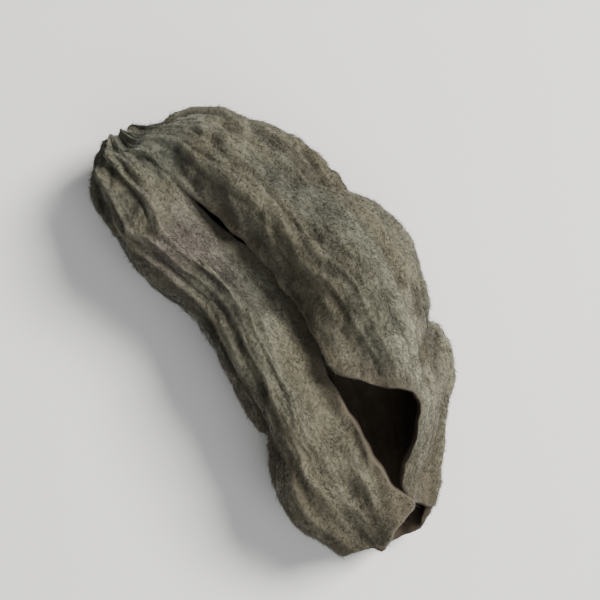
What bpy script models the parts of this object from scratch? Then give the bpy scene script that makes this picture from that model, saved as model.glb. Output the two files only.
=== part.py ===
"""A dried wood ear: one ear of the fungus, shrunk and curled over itself like a slipper.

The ear is one thin sheet that grew as one piece. Its velvety back is outside and its smooth
face is inside the curl. The sheet starts at the knob that held it to the wood, at the closed
end (-X), wraps round the underside (-Z) and both sides, and rolls its two long margins in
towards each other at a slit on top (+Z). Near the far tip (+X) the slit opens into a mouth.

A point of the sheet has two coordinates. "along" runs from 0 at the knob to 1 at the far tip.
"turn" is the angle round the curl: 0 at the underside, positive up the domed side (+Y) and
negative up the narrow rolled side (-Y), until the two lips meet at the slit.
"""

import math

import bpy
import numpy as np

MM = 0.001

# The outside of the curl, in millimetres. Each station says how far along the sheet it is, and
# the limits there of the narrow side, the domed side, the underside and the top.
CURL_LENGTH = 16.8
NOSE_BLUNTNESS = 0.13
STATIONS = (
    (0.00, 0.50, 0.50, 2.45, 2.45),
    (0.05, -0.85, 2.20, 1.30, 3.62),
    (0.12, -1.42, 3.95, 0.75, 4.40),
    (0.22, -1.75, 5.55, 0.30, 4.95),
    (0.36, -1.50, 6.45, 0.05, 5.25),
    (0.50, -1.20, 6.75, 0.00, 5.35),
    (0.64, -1.30, 6.65, 0.00, 5.30),
    (0.76, -1.55, 6.00, 0.05, 5.10),
    (0.88, -1.65, 4.45, 0.45, 4.60),
    (1.00, -1.00, 2.20, 1.40, 3.70),
)
UNDERSIDE_SQUARENESS = 0.60

# The slit on top. Each row says how far down its lips it is, and the turns in degrees of the
# narrow side's lip and of the domed side's lip. Before its start the sheet closes into a hood.
# Past the domed side's end, the narrow side's lip goes on over the top to close the tip.
SLIT_TURN = 193.0
SLIT = (
    (0.23, -167.0, 193.0),
    (0.30, -166.4, 190.9),
    (0.45, -170.0, 190.3),
    (0.60, -170.6, 190.0),
    (0.72, -167.5, 189.8),
    (0.82, -170.0, 189.6),
    (0.91, -177.0, 189.3),
    (0.96, -184.0, 189.1),
    (1.00, -203.0, 189.0),
)

# The lips roll in: the sheet dips beside the slit, by so many millimetres over such a width,
# from so far up its side. Two pairs of places along say where the dip deepens and eases off.
ROLL_IN_DEPTH = 1.60
ROLL_IN_WIDTH = 1.15
ROLL_IN_FROM = (0.15, 0.75)
ROLL_IN_DEEPENS = (0.04, 0.36)
ROLL_IN_EASES = (0.60, 0.98)

# The domed lip lies a little higher than the narrow one, between these places along.
LIP_STEP = 0.25
LIP_STEP_STARTS = (0.22, 0.34)
LIP_STEP_ENDS = (0.75, 0.95)

# Near the tip the domed side's rim leans in over the hollow: how far, over which turns in
# degrees, and over which stretch along the sheet it starts to.
RIM_LEAN = 1.2
RIM_LEAN_TURNS = (85.0, 135.0)
RIM_LEAN_STARTS = (0.80, 0.93)

# The margin round the mouth and the tip: turn in degrees, and how far along the sheet ends there.
MARGIN = (
    (-203, 0.955),
    (-180, 0.972),
    (-155, 0.984),
    (-130, 0.972),
    (-100, 0.956),
    (-75, 0.958),
    (-50, 0.972),
    (-25, 0.988),
    (-5, 0.982),
    (15, 0.992),
    (35, 1.000),
    (55, 0.993),
    (75, 0.977),
    (92, 0.983),
    (108, 0.970),
    (120, 0.955),
    (130, 0.926),
    (137, 0.882),
    (143, 0.838),
    (150, 0.806),
    (160, 0.779),
    (172, 0.752),
    (189, 0.690),
)

# The margin's ruffle: its height, its waves in a full turn, and where it fades in down the sheet
# and out towards the tip.
RUFFLE_HEIGHT = 0.20
RUFFLE_WAVES = 6
RUFFLE_UNEVENNESS = 1.5
RUFFLE_FADES_IN = (0.60, 1.00)
RUFFLE_FADES_OUT = (0.75, 1.05)

# Wider waves of the margin at the tip: their height, how many there are in a full turn, their
# phase in degrees, and the stretch over which they grow.
TIP_WAVE_HEIGHT = 0.30
TIP_WAVES = 3.4
TIP_WAVE_PHASE = 20.0
TIP_WAVES_GROW = (0.80, 1.00)

# The wall of the sheet, which thins to a rounded margin: across the sheet from so far towards
# each lip, and down the sheet from so far along its run. The inner face has the back's folds
# and lumps at a share of their height, and under a deep fold the wall keeps its thinnest.
INNER_SHARE = 0.68
WALL = 0.60
THINNEST = 0.25
MARGIN_WALL = 0.34
MARGIN_ROUNDING = 0.13
THINS_TOWARDS_LIP = 0.86
THINS_TOWARDS_MOUTH = 0.80
THINS_PAST_HOOD = 0.10

# Folds that fan out from the knob: turn in degrees at the knob and at the tip, half width in
# degrees, depth in millimetres, and where along the sheet each starts and ends.
FOLDS = (
    (-140, -130, 12, 0.24, 0.06, 0.62),
    (-106, -96, 11, 0.44, 0.04, 0.95),
    (-72, -58, 13, 0.42, 0.10, 0.80),
    (-4, 0, 20, 0.42, 0.05, 0.92),
    (42, 58, 12, 0.52, 0.05, 0.80),
    (84, 70, 11, 0.50, 0.12, 0.98),
    (104, 126, 12, 0.54, 0.03, 0.72),
    (144, 130, 11, 0.34, 0.05, 0.88),
)
FOLD_SHARPNESS = 1.5
FOLD_START_LENGTH = 0.14
FOLD_END_LENGTH = 0.20

# Creases where the sheet buckled across its folds: the middle of each in millimetres from the
# start of the curl, the way across it, and its half width, reach and depth in millimetres.
CREASES = (
    ((5.6, 6.1, 3.4), (0.80, 0.15, 0.58), 0.70, 2.6, 0.42),
    ((10.6, 6.3, 2.2), (0.82, 0.00, -0.57), 0.75, 3.0, 0.46),
    ((12.8, 4.6, 4.4), (0.90, 0.40, 0.17), 0.60, 2.2, 0.26),
    ((11.8, -1.3, 2.6), (0.88, 0.00, -0.47), 0.70, 2.6, 0.38),
    ((6.0, -1.5, 2.4), (0.78, 0.10, 0.62), 0.70, 2.4, 0.36),
)

# Uneven shrinking: waves through space, in radians per millimetre along X, Y and Z, then the
# phase in radians and the height in millimetres. The underside dried flatter.
LUMPS = (
    (0.72, 0.55, -0.40, 0.6, 0.17),
    (-0.95, 0.80, 0.65, 2.1, 0.13),
    (1.45, -0.60, 0.90, 4.0, 0.10),
    (0.50, 1.70, -0.85, 5.2, 0.07),
)
CALM_UNDERSIDE = 0.6
CALM_BETWEEN = (0.5, 0.9)

# The knob where the ear came off the wood: its height, how far along its flat top and its foot
# reach, and the puckers round it.
KNOB_HEIGHT = 0.60
KNOB_TOP = 0.015
KNOB_FOOT = 0.060
PUCKERS = 9
PUCKER_DEPTH = 0.07
PUCKERS_START = 0.004
PUCKERS_END = 0.18

# Near the knob the folds and lumps stand out towards -X rather than round the spine.
KNOB_FACING = 3.0
KNOB_FACING_REACH = 0.10

# The folds of the underside that it rests on are pressed flat by this much.
PRESSED_FLAT = 0.30

ROWS = 28
HOOD_ROWS = 10
COLUMNS = 76
ROW_CROWDING = 1.4
COLUMN_CROWDING = 1.1

BACK_COLOUR = (0.125, 0.105, 0.070, 1.0)


def rise(limits, value):
    """0 below the lower limit, 1 above the upper one, with a smooth step between."""
    low, high = limits
    share = np.clip((value - low) / (high - low), 0.0, 1.0)
    return share * share * (3.0 - 2.0 * share)


def fall(limits, value):
    """1 below the lower limit, 0 above the upper one, with a smooth step between."""
    return 1.0 - rise(limits, value)


def through(stations, place):
    """The values of a smooth curve through the stations, at each given place."""
    table = np.array(stations, float)
    places, heights = table[:, 0], table[:, 1:]
    slopes = np.gradient(heights, places, axis=0)
    place = np.clip(place, places[0], places[-1])
    index = np.clip(np.searchsorted(places, place) - 1, 0, len(places) - 2)
    step = (places[index + 1] - places[index])[..., None]
    share = (place - places[index])[..., None] / step
    rest = 1.0 - share
    return (
        heights[index] * rest * rest * (1.0 + 2.0 * share)
        + heights[index + 1] * share * share * (3.0 - 2.0 * share)
        + slopes[index] * step * share * rest * rest
        - slopes[index + 1] * step * share * share * rest
    )


def unit(vectors):
    return vectors / np.maximum(np.linalg.norm(vectors, axis=-1, keepdims=True), 1e-9)


def sheet_coordinates():
    """(turn, along, run) of a grid that runs from knob to margin and from lip to lip."""
    run = np.linspace(0.0, 1.0, ROWS + 1) ** ROW_CROWDING
    across = np.linspace(-1.0, 1.0, COLUMNS + 1)
    across = np.sin(COLUMN_CROWDING * across) / math.sin(COLUMN_CROWDING)
    lips = through(SLIT, run)
    lips[: HOOD_ROWS + 1] = SLIT_TURN - 360.0, SLIT_TURN
    turn = lips[:, :1] + (lips[:, 1:] - lips[:, :1]) * (across[None, :] + 1.0) / 2.0
    margin = through(MARGIN, turn[-1])[:, 0]
    held_back = (1.0 - margin[None, :]) * rise((run[HOOD_ROWS], 1.0), run)[:, None]
    along = run[:, None] * (1.0 - held_back)
    return np.radians(turn), along, np.repeat(run[:, None], COLUMNS + 1, axis=1)


def curl(turn, along):
    """The plain curl: an oval section that grows from the knob, dipping in along the slit."""
    nose = NOSE_BLUNTNESS
    x = CURL_LENGTH * (np.sqrt(along**2 + nose**2) - nose) / (math.sqrt(1.0 + nose**2) - nose)
    narrow, domed, bottom, top = np.moveaxis(through(STATIONS, along), -1, 0)
    upward = -np.cos(turn)
    upward = np.where(upward < 0.0, -np.abs(upward) ** UNDERSIDE_SQUARENESS, upward)
    middle, half_width = (narrow + domed) / 2.0, (domed - narrow) / 2.0
    y = middle + half_width * np.sin(turn)
    leaning = rise(RIM_LEAN_TURNS, np.degrees(turn)) * rise(RIM_LEAN_STARTS, along)
    z = (bottom + top) / 2.0 + (top - bottom) / 2.0 * upward
    from_slit = (y - middle - half_width * math.sin(math.radians(SLIT_TURN))) / ROLL_IN_WIDTH
    near_slit = np.exp(-(from_slit**2)) * rise(ROLL_IN_FROM, upward)
    depth = ROLL_IN_DEPTH * rise(ROLL_IN_DEEPENS, along) * fall(ROLL_IN_EASES, along)
    side = np.where(turn > math.pi / 2.0, 1.0, -1.0)
    step = LIP_STEP * side * rise(LIP_STEP_STARTS, along) * fall(LIP_STEP_ENDS, along)
    return np.stack([x, y - RIM_LEAN * leaning, z + near_slit * (step - depth)], -1)


def folding(turn, along):
    """How far in the folds go: a groove round a line that runs down the sheet."""
    depths = np.zeros_like(turn)
    for at_knob, at_tip, half_width, depth, start, end in FOLDS:
        middle = np.radians(at_knob + (at_tip - at_knob) * along)
        off = np.abs(np.angle(np.exp(1j * (turn - middle)))) / math.radians(half_width)
        starts = rise((start, start + FOLD_START_LENGTH), along)
        ends = fall((end - FOLD_END_LENGTH, end), along)
        depths += depth * np.exp(-(off**FOLD_SHARPNESS)) * starts * ends
    return depths


def buckling(points):
    """How far in the creases go: a V with raised shoulders that dies out away from its middle."""
    depths = np.zeros(points.shape[:-1])
    for middle, across, half_width, reach, depth in CREASES:
        off = points - middle
        over = np.abs(off @ np.array(across)) / half_width
        depths += depth * (1.0 - over) * np.exp(-over - (off**2).sum(axis=-1) / reach**2)
    return depths


def shrinking(points, turn, along, run):
    """How far each point of the back stands out from the plain curl."""
    out = -folding(turn, along) - buckling(points)
    calm = 1.0 - CALM_UNDERSIDE * rise(CALM_BETWEEN, np.cos(turn))
    for wave_x, wave_y, wave_z, phase, height in LUMPS:
        out += calm * height * np.sin(points @ np.array([wave_x, wave_y, wave_z]) + phase)
    ruffle = RUFFLE_HEIGHT * np.sin(RUFFLE_WAVES * turn + RUFFLE_UNEVENNESS * np.sin(2.0 * turn))
    out += ruffle * rise(RUFFLE_FADES_IN, run) * fall(RUFFLE_FADES_OUT, along)
    tip_waves = np.sin(TIP_WAVES * turn + math.radians(TIP_WAVE_PHASE))
    return out + TIP_WAVE_HEIGHT * tip_waves * rise(TIP_WAVES_GROW, along)


def outward(turn, along):
    """The way out of the curl at each point: round the spine, and towards -X at the knob."""
    forward = -KNOB_FACING * np.exp(-((along / KNOB_FACING_REACH) ** 2))
    return unit(np.stack([forward, np.sin(turn), -np.cos(turn)], -1))


def knob(turn, along):
    """How far the back stands out towards -X at the knob, with puckers round its foot."""
    puckered = rise((PUCKERS_START, KNOB_TOP), along) * fall((KNOB_FOOT, PUCKERS_END), along)
    puckers = PUCKER_DEPTH * puckered * np.sin(PUCKERS * turn)
    return KNOB_HEIGHT * fall((KNOB_TOP, KNOB_FOOT), along) + puckers


def point_numbers():
    """The grid's point numbers: one at the knob, and one seam column until the slit opens."""
    number = np.arange((ROWS + 1) * (COLUMNS + 1)).reshape(ROWS + 1, COLUMNS + 1)
    number[0] = number[0, 0]
    number[: HOOD_ROWS + 1, -1] = number[: HOOD_ROWS + 1, 0]
    return number


def squares(number):
    """The four corners of each square between neighbouring points, facing out of the curl."""
    corners = [number[:-1, :-1], number[:-1, 1:], number[1:, 1:], number[1:, :-1]]
    return np.stack(corners, -1).reshape(-1, 4)


def normals(points, corners):
    """The average direction of the squares that meet at each point."""
    first, second, third, fourth = np.moveaxis(points[corners], 1, 0)
    facing = np.cross(third - first, fourth - second)
    total = np.zeros_like(points)
    for corner in corners.T:
        np.add.at(total, corner, facing)
    return unit(total)


def wall_thickness(run):
    """The wall at each point, thinning towards the margin round the mouth and along both lips."""
    across = np.abs(np.linspace(-1.0, 1.0, COLUMNS + 1))[None, :]
    hood_end = run[HOOD_ROWS, 0]
    open_part = rise((hood_end, hood_end + THINS_PAST_HOOD), run)
    towards_lip = rise((THINS_TOWARDS_LIP, 1.0), across) * open_part
    towards_mouth = rise((THINS_TOWARDS_MOUTH, 1.0), run)
    return WALL + (MARGIN_WALL - WALL) * np.maximum(towards_mouth, towards_lip)


def round_margin(down_narrow, across_mouth, up_domed):
    """One loop from a row or column of values at each stretch of the margin."""
    return np.concatenate([down_narrow[HOOD_ROWS:], across_mouth[1:-1], up_domed[:HOOD_ROWS:-1]])


def margin_of(grid):
    return round_margin(grid[:, 0], grid[-1], grid[:, -1])


def ear_points(number):
    """The back, the inner face and the rounded margin, standing on the origin in millimetres."""
    turn, along, run = sheet_coordinates()
    plain = curl(turn, along)
    facing = normals(plain.reshape(-1, 3), squares(number))[number]
    way = outward(turn, along)
    shrunk = shrinking(plain, turn, along, run)
    wall = wall_thickness(run)
    behind = np.minimum(INNER_SHARE * shrunk, shrunk + wall - THINNEST)
    inner = plain + way * behind[..., None] - facing * wall[..., None]
    back = plain + way * shrunk[..., None]
    back[..., 0] -= knob(turn, along)
    past_margin = unit(margin_of(plain) - round_margin(plain[:, 1], plain[-2], plain[:, -2]))
    edge = margin_of((back + inner) / 2.0) + past_margin * MARGIN_ROUNDING
    points = np.concatenate([back.reshape(-1, 3), inner.reshape(-1, 3), edge])
    points[:, 2] -= points[:, 2].min() + PRESSED_FLAT
    points[:, 2] = np.maximum(points[:, 2], 0.0)
    points[:, :2] -= (points[:, :2].min(axis=0) + points[:, :2].max(axis=0)) / 2.0
    return points


def ear_mesh():
    """The closed solid: the back, the inner face and the margin that joins them."""
    number = point_numbers()
    points = ear_points(number)
    back = squares(number)
    inner = back[:, ::-1] + number.size
    back_edge = margin_of(number)
    edge = np.arange(len(back_edge)) + 2 * number.size
    strips = ((back_edge, edge), (edge, back_edge + number.size))
    rim = [np.stack([near, np.roll(near, -1), np.roll(far, -1), far], -1) for near, far in strips]
    used, corners = np.unique(np.concatenate([back, inner, *rim]), return_inverse=True)
    faces = [list(dict.fromkeys(face)) for face in corners.reshape(-1, 4).tolist()]
    mesh = bpy.data.meshes.new("wood_ear")
    mesh.from_pydata((points[used] * MM).tolist(), [], faces)
    return mesh


def back_material():
    """Taupe velvet of the dried back."""
    material = bpy.data.materials.new("ear_back")
    material.use_nodes = True
    shader = material.node_tree.nodes["Principled BSDF"]
    shader.inputs["Base Color"].default_value = BACK_COLOUR
    shader.inputs["Roughness"].default_value = 0.85
    shader.inputs["Metallic"].default_value = 0.0
    return material


def make_ear():
    """The whole ear as one object."""
    mesh = ear_mesh()
    mesh.shade_smooth()
    mesh.materials.append(back_material())
    ear = bpy.data.objects.new("wood_ear", mesh)
    bpy.context.scene.collection.objects.link(ear)


def main():
    for old in list(bpy.data.objects):
        bpy.data.objects.remove(old)
    make_ear()


main()
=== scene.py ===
"""A dried wood ear: the finished look of the curled ear, on a pale floor in soft light.

The ear is one sheet with two parameters. "along" runs from 0 at the knob to 1 at the far tip, and
"turn" is the angle round the curl: 0 at the underside, positive up the domed side and negative up
the narrow one. The curl, its folds and its margin repeat the formulas of the solid that it stands
for. On them lie the wrinkles of the back, the veins of the inner face, and a nap of short hairs
whose tips reach the solid's surface.
"""

import math

import bpy
import numpy as np
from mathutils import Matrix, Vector


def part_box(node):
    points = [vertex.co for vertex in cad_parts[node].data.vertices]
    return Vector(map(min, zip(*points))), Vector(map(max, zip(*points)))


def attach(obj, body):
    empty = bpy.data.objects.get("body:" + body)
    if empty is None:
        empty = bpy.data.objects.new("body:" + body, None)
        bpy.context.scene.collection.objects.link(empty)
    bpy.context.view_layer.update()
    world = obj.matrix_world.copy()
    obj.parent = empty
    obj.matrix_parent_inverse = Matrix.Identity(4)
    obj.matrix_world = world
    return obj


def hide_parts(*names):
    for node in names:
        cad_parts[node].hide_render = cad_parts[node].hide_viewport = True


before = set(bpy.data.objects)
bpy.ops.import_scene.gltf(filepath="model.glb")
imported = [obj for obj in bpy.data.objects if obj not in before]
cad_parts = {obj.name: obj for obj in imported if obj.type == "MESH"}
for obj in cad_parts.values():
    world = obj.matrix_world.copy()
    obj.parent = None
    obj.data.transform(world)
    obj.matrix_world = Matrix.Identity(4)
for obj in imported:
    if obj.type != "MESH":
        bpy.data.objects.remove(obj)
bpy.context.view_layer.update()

bl_info = {
    "name": "Dried Wood Ear",
    "version": (1, 0, 0),
    "blender": (4, 5, 0),
    "location": "3D View > Sidebar > Wood Ear",
    "description": "Builds a dried, curled wood ear mushroom with its velvet nap, and a stage",
    "category": "Object",
}

NODE = "wood_ear"
MM = 0.001
LOW, HIGH = (np.array(corner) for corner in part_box(NODE))

# The outside of the curl: how far along the sheet each station is, and its limits in millimetres
# at the narrow side, the domed side, the underside and the top.
NOSE_BLUNTNESS = 0.13
STATIONS = (
    (0.00, 0.50, 0.50, 2.45, 2.45),
    (0.05, -0.85, 2.20, 1.30, 3.62),
    (0.12, -1.42, 3.95, 0.75, 4.40),
    (0.22, -1.75, 5.55, 0.30, 4.95),
    (0.36, -1.50, 6.45, 0.05, 5.25),
    (0.50, -1.20, 6.75, 0.00, 5.35),
    (0.64, -1.30, 6.65, 0.00, 5.30),
    (0.76, -1.55, 6.00, 0.05, 5.10),
    (0.88, -1.65, 4.45, 0.45, 4.60),
    (1.00, -1.00, 2.20, 1.40, 3.70),
)
UNDERSIDE_SQUARENESS = 0.60

# The slit on top: how far down its lips, and the turns in degrees of its two lips.
SLIT_TURN = 193.0
SLIT = (
    (0.23, -167.0, 193.0),
    (0.30, -166.4, 190.9),
    (0.45, -170.0, 190.3),
    (0.60, -170.6, 190.0),
    (0.72, -167.5, 189.8),
    (0.82, -170.0, 189.6),
    (0.91, -177.0, 189.3),
    (0.96, -184.0, 189.1),
    (1.00, -203.0, 189.0),
)
ROLL_IN_WIDTH = 1.15
ROLL_IN_FROM = (0.15, 0.75)
ROLL_IN_DEEPENS = (0.04, 0.36)
ROLL_IN_EASES = (0.60, 0.98)
LIP_STEP = 0.25
LIP_STEP_STARTS = (0.22, 0.34)
LIP_STEP_ENDS = (0.75, 0.95)

# The domed rim leans in over the hollow near the tip: how far, over which turns in degrees, and
# over which stretch.
RIM_LEAN = 1.2
RIM_LEAN_TURNS = (85.0, 135.0)
RIM_LEAN_STARTS = (0.80, 0.93)

# The margin round the mouth and the tip: turn in degrees, and how far along the sheet ends.
MARGIN = (
    (-203, 0.955), (-180, 0.972), (-155, 0.984), (-130, 0.972), (-100, 0.956),
    (-75, 0.958), (-50, 0.972), (-25, 0.988), (-5, 0.982), (15, 0.992),
    (35, 1.000), (55, 0.993), (75, 0.977), (92, 0.983), (108, 0.970),
    (120, 0.955), (130, 0.926), (137, 0.882), (143, 0.838), (150, 0.806),
    (160, 0.779), (172, 0.752), (189, 0.690),
)

# Nibbles of the lips: height in degrees, closeness, and where they start. Nibbles of the margin:
# height as a share of the sheet's length, and closeness in a degree. Finer ones lie so much closer
# on both: their share at each edge, and the seeds of both kinds.
NIBBLED_LIPS = 0.9
NIBBLES_DOWN = 14.0
NIBBLES_START = (0.30, 0.45)
NIBBLED_MARGIN = 0.006
NIBBLES_ROUND = 0.035
FINER_NIBBLES = 2.7
FINER_ON_LIPS = ((0.6, 71, 75), (0.6, 72, 76))
FINER_ON_MARGIN = (0.5, 73, 74)

# Ruffles of the margin: how many in a full turn, how uneven, and where they come and go.
RUFFLE_WAVES = 6
RUFFLE_UNEVENNESS = 1.5
RUFFLE_FADES_IN = (0.60, 1.00)
RUFFLE_FADES_OUT = (0.75, 1.05)

# Wider waves of the margin at the tip: height, how many in a full turn, phase in degrees, and the
# stretch over which they grow.
TIP_WAVE_HEIGHT = 0.30
TIP_WAVES = 3.4
TIP_WAVE_PHASE = 20.0
TIP_WAVES_GROW = (0.80, 1.00)

# The margin's half round: how far it stands out in millimetres, and its steps.
MARGIN_ROUNDING = 0.13
MARGIN_ARC_STEPS = 4

# The sheet thins towards its lips, towards its mouth, and past the end of the hood. The inner face
# follows a share of the back's relief and leaves a least wall in millimetres.
THINS_TOWARDS_LIP = 0.86
THINS_TOWARDS_MOUTH = 0.80
THINS_PAST_HOOD = 0.10
INNER_SHARE = 0.68
THINNEST = 0.25

# Folds that fan out from the knob: turn in degrees at the knob and at the tip, half width in
# degrees, depth in millimetres, and where along the sheet each starts and ends.
FOLDS = (
    (-140, -130, 12, 0.24, 0.06, 0.62),
    (-106, -96, 11, 0.44, 0.04, 0.95),
    (-72, -58, 13, 0.42, 0.10, 0.80),
    (-4, 0, 20, 0.42, 0.05, 0.92),
    (42, 58, 12, 0.52, 0.05, 0.80),
    (84, 70, 11, 0.50, 0.12, 0.98),
    (104, 126, 12, 0.54, 0.03, 0.72),
    (144, 130, 11, 0.34, 0.05, 0.88),
)
FOLD_SHARPNESS = 1.5
FOLD_START_LENGTH = 0.14
FOLD_END_LENGTH = 0.20

# Creases where the sheet buckled across its folds: the middle of each from the start of the curl,
# the way across it, and its half width, reach and depth, in millimetres.
CREASES = (
    ((5.6, 6.1, 3.4), (0.80, 0.15, 0.58), 0.70, 2.6, 0.42),
    ((10.6, 6.3, 2.2), (0.82, 0.00, -0.57), 0.75, 3.0, 0.46),
    ((12.8, 4.6, 4.4), (0.90, 0.40, 0.17), 0.60, 2.2, 0.26),
    ((11.8, -1.3, 2.6), (0.88, 0.00, -0.47), 0.70, 2.6, 0.38),
    ((6.0, -1.5, 2.4), (0.78, 0.10, 0.62), 0.70, 2.4, 0.36),
)

# Uneven shrinking: waves in radians per millimetre, phase in radians, height in millimetres.
LUMPS = (
    (0.72, 0.55, -0.40, 0.6, 0.17),
    (-0.95, 0.80, 0.65, 2.1, 0.13),
    (1.45, -0.60, 0.90, 4.0, 0.10),
    (0.50, 1.70, -0.85, 5.2, 0.07),
)
CALM_UNDERSIDE = 0.6
CALM_BETWEEN = (0.5, 0.9)

# The knob: how far along the sheet its flat top and its foot end, how many puckers it has, and
# their depth in millimetres, start and end.
KNOB_TOP = 0.015
KNOB_FOOT = 0.060
PUCKERS = 9
PUCKER_DEPTH = 0.07
PUCKERS_START = 0.004
PUCKERS_END = 0.18

# Round the knob the way out turns towards -X: how strongly, how far along the sheet, and over
# which stretch at the centre the part round the spine comes in.
KNOB_FACING = 3.0
KNOB_FACING_REACH = 0.10
KNOB_CENTRE_ENDS = (0.0, 0.020)

# The back's fine relief starts off the middle of the knob, where the scar lies: where it ends,
# where its rim rises and falls, and the shares of its fibres, its rim and its sinking. This many
# millimetres count as full relief for the colours.
RELIEF_STARTS = (0.010, 0.040)
SCAR_ENDS = (0.012, 0.024)
SCAR_RIM_FROM = (0.008, 0.018)
SCAR_RIM_TO = (0.020, 0.034)
SCAR_SHARES = (0.8, 1.4, 1.2)
FULL_RELIEF = 0.16

# The fine relief is calmer by these shares at the margin and in dents, from the first depth in
# millimetres to the second. The inside clears a dent by a few steps of the grid.
CALM_MARGIN = 0.55
CALM_DENTS = 0.75
DENTS_FROM = (0.55, 0.95)
UNDER_DENTS_STEPS = 3

# Noise: how many slopes it draws from, the primes and the shift that mix a cell's place, and what
# spreads it to about -1 to 1.
SLOPES = 256
CELL_PRIMES = (73856093, 19349663, 83492791)
CELL_SHIFT = 9
NOISE_SPREAD = 1.6

# Layers of plain noise: how close each lies in a millimetre, its share and its seed.
BACK_BEND = ((0.45, 0.35, 5),)
INNER_BEND = ((0.4, 0.4, 6),)
CRINKLES = ((1.9, 1.0, 21), (4.3, 0.6, 22))
SCAR_FIBRES = ((4.0, 1.0, 91), (9.0, 0.7, 92))
SCAR_RIM = ((1.6, 0.8, 93),)
INNER_ROLL = ((1.3, 0.6, 32), (3.1, 0.3, 34))
MARGIN_WAVES = ((0.75, 1.0, 61), (1.9, 0.45, 62))
MARGIN_GRAIN = ((1.6, 0.35, 77),)
NAP_PATCHES = ((0.45, 1.0, 55),)

# Lines of relief down the sheet: how close they lie round it and down it, how much they bend,
# their seed and their sharpness.
LONG_CREASES = (6.0, 3.4, 1.0, 11, 2.6)
SHORT_CREASES = (10.0, 9.0, 1.0, 12, 2.4)
RIBS = (2.6, 1.9, 1.2, 13, 1.8)
SIDE_RIBS = (5.2, 4.4, 1.2, 14, 1.9)
VEINS = (4.2, 2.6, 1.0, 31, 2.6)
SIDE_VEINS = (9.0, 7.0, 1.0, 33, 2.4)
PILLOWS = (3.3, 6.5, 2.0, 15)
SIDE_PILLOWS = (1.1, 16)
SIDE_RIBS_SHARE = 0.40
RIBS_STAND_OVER = 0.35
PILLOWS_STAND_OVER = 0.3
CREASES_FADE = (0.10, 0.75)
CREASES_LEFT = 0.45

# How deep the underside is pressed flat, and how far it stays off the floor, in millimetres.
PRESSED_FLAT = 0.30
FLOOR_GAP = 0.02

# Streaks of colour lie in a space that winds round the sheet at this radius, and is this long.
STREAK_ROUND = 3.2
STREAK_LENGTHS = 5.0

# Washes of colour on the back: middle and reach in millimetres, and strength. Greener at the knob's
# end, mauve in the dip by the slit, and a pale painted highlight on the low corner of the dome.
WASHES = (
    ((-7.2, -1.4, 3.5), 2.8, 0.90),
    ((-3.5, -2.3, 3.4), 1.9, 0.62),
    ((3.9, 2.3, 3.8), 2.3, 1.00),
)
WASH_SEED = 95
WASH_GRAIN = 0.9
WASH_EDGE = (-0.55, 0.25)
# Share of bloom colour in the painted highlight on the low corner of the dome.
PAINTED_HIGHLIGHT_BLOOM = 0.75

# Noise of the materials: features in each unit of its place, detail, roughness, the range that is
# stretched, and where to if it isn't 0 to 1. The olive patches lie elsewhere in the same space.
BROWN_PATCHES = (0.42, 5.0, 0.6, 0.30, 0.75)
OLIVE_PATCHES = (0.50, 4.0, 0.55, 0.42, 0.66)
OLIVE_PATCHES_FROM = (7.3, 2.9, 5.1)
BLOOM_CLOUDS = (1.70, 6.0, 0.7, 0.28, 0.78)
SPECKLES = (9000.0, 2.0, 0.7, 0.30, 0.70, 0.62, 1.38)
GLOSS_CLOUDS = (700.0, 3.0, 0.55, 0.3, 0.7, 0.50, 0.72)
FLOOR_CLOUDS = (25.0, 3.0, 0.55, 0.3, 0.7, 0.97, 1.0)

# How other values are stretched: from which range, and where to if it isn't 0 to 1.
# Pale bloom, partly real and partly a painted highlight, grows on the raised relief over this
# range.
BLOOM_AND_HIGHLIGHT_BY_RELIEF = (-0.7, 1.0, 0.10, 1.0)
# The painted shade in creases and deep folds grows as the relief falls, over this range.
SHADE_BY_RELIEF = (-0.10, -1.30)
BARE_AT_MARGIN = (0.70, 1.0, 0.0, 0.55)
DARK_AT_MARGIN = (0.20, 0.95, 0.0, 0.80)
ROUGHER_AT_MARGIN = (0.0, 0.7, 0.0, 0.25)
COAT_TO_MARGIN = (0.0, 0.7, 0.12, 0.0)
# Colour multiplied in as painted shade where the creases and deep folds lie.
PAINTED_CREASE_SHADE = (0.22, 0.20, 0.18)

# Uniform values of the shaders, those of all first, and how deep their bumps go.
ALL_FINISHES = {"Metallic": 0.0, "IOR": 1.45, "Sheen Roughness": 0.45}
BACK_FINISH = {"Roughness": 0.88, "Sheen Weight": 0.18}
INNER_FINISH = {"Specular IOR Level": 0.30, "Coat Roughness": 0.38}
NAP_FINISH = {"Roughness": 0.80}
FLOOR_FINISH = {"Roughness": 0.75}
BACK_BUMP = 0.015 * MM
INNER_BUMP = 0.006 * MM

# The mottling's sockets, and how strong its parts are on the back, the inner face and the nap.
MOTTLING_COLOURS = ("Colour", "Patch Colour", "Cool Colour", "Mauve Colour", "Bloom Colour")
MOTTLING_SOCKETS = (
    ("INPUT", "Color", MOTTLING_COLOURS),
    ("INPUT", "Float", ("Patches", "Bloom", "Crease Shade", "Grain", "Relief")),
    ("INPUT", "Vector", ("Place", "Streaks", "Washes")),
    ("OUTPUT", "Color", ("Colour",)),
    ("OUTPUT", "Float", ("Height",)),
)
# Crease Shade is how strong the painted shade is; Bloom is partly a painted highlight on the
# ridges.
BACK_MOTTLING = {"Patches": 0.75, "Bloom": 0.45, "Crease Shade": 0.75, "Grain": 0.6}
INNER_MOTTLING = {"Patches": 0.35, "Bloom": 0.24, "Crease Shade": 0.0, "Grain": 0.3}
NAP_MOTTLING = {"Patches": 0.75, "Bloom": 0.70, "Crease Shade": 0.80, "Grain": 0.0}

# The fine grid, whose hood ends at the same share of its rows as the solid's. Its rows crowd
# towards the knob, and its columns towards the lips.
ROWS = 168
HOOD_ROWS = 60
COLUMNS = 264
ROW_CROWDING = 1.4
COLUMN_CROWDING = 1.1

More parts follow.
